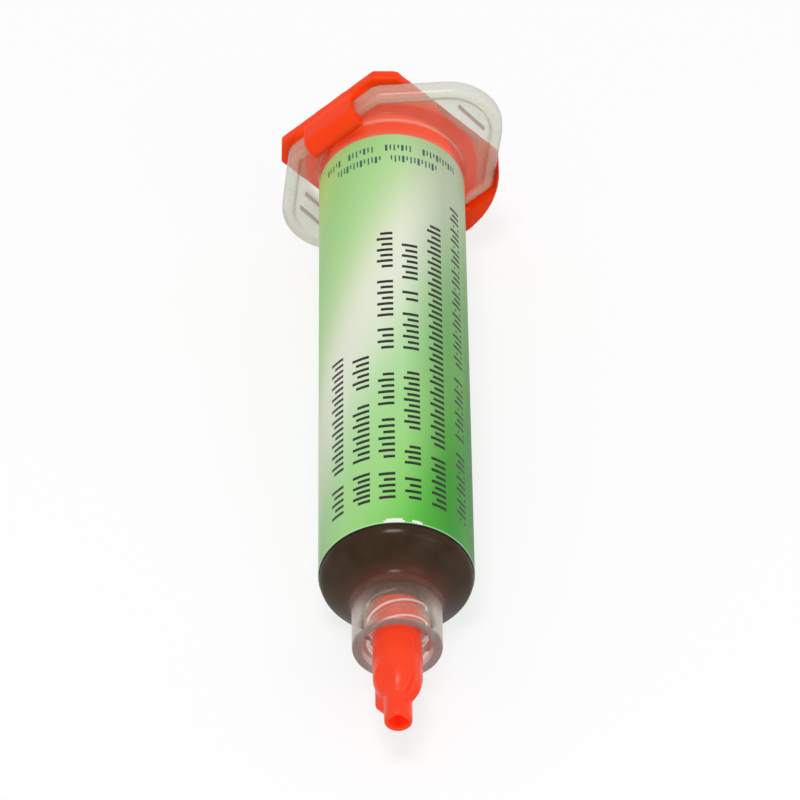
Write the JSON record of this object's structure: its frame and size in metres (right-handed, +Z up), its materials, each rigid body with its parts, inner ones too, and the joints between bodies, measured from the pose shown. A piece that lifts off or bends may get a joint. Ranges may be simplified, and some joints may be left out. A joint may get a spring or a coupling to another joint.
{
  "type": "flux syringe",
  "caption": "Dispensing barrel filled with dark flux, with a wrapped label, finger flange, wiper piston, hooked end cap and luer lock tip cap.",
  "frame": {"origin": "centre of the bounding box's underside, on the surface that the syringe lies on", "axes": "+Z up; the syringe lies along Y with its tip toward -Y; +X to the right seen from the tip's end with the tip toward the viewer"},
  "size_m": [0.0288, 0.1004, 0.0288],
  "materials": {
    "barrel_plastic": "translucent natural polypropylene, satin",
    "label_film": "printed film, green fading to cream",
    "flux_gel": "dark brown sticky gel",
    "piston_plastic": "natural polyethylene",
    "end_cap_plastic": "orange-red moulded polyethylene",
    "tip_cap_plastic": "orange-red moulded polyethylene"
  },
  "bodies": {
    "barrel_body": {"barrel": "barrel_plastic", "label": "label_film", "flux": "flux_gel"},
    "piston_body": {"piston": "piston_plastic"},
    "end_cap_body": {"end_cap": "end_cap_plastic"},
    "tip_cap_body": {"tip_cap": "tip_cap_plastic"}
  },
  "joints": [
    {"name": "piston_slide", "type": "slide", "parent": "barrel_body", "child": "piston_body", "axis": [0, -0.9979, -0.0641], "range_m": [0, 0.053], "deforming": ["flux"]},
    {"name": "end_cap_slide", "type": "slide", "parent": "barrel_body", "child": "end_cap_body", "axis": [0.7223, -0.0443, 0.6901], "range_m": [0, 0.03]},
    {"name": "tip_cap_pull", "type": "slide", "parent": "barrel_body", "child": "tip_cap_body", "axis": [0, -0.9979, -0.0641], "range_m": [0, 0.016]}
  ]
}
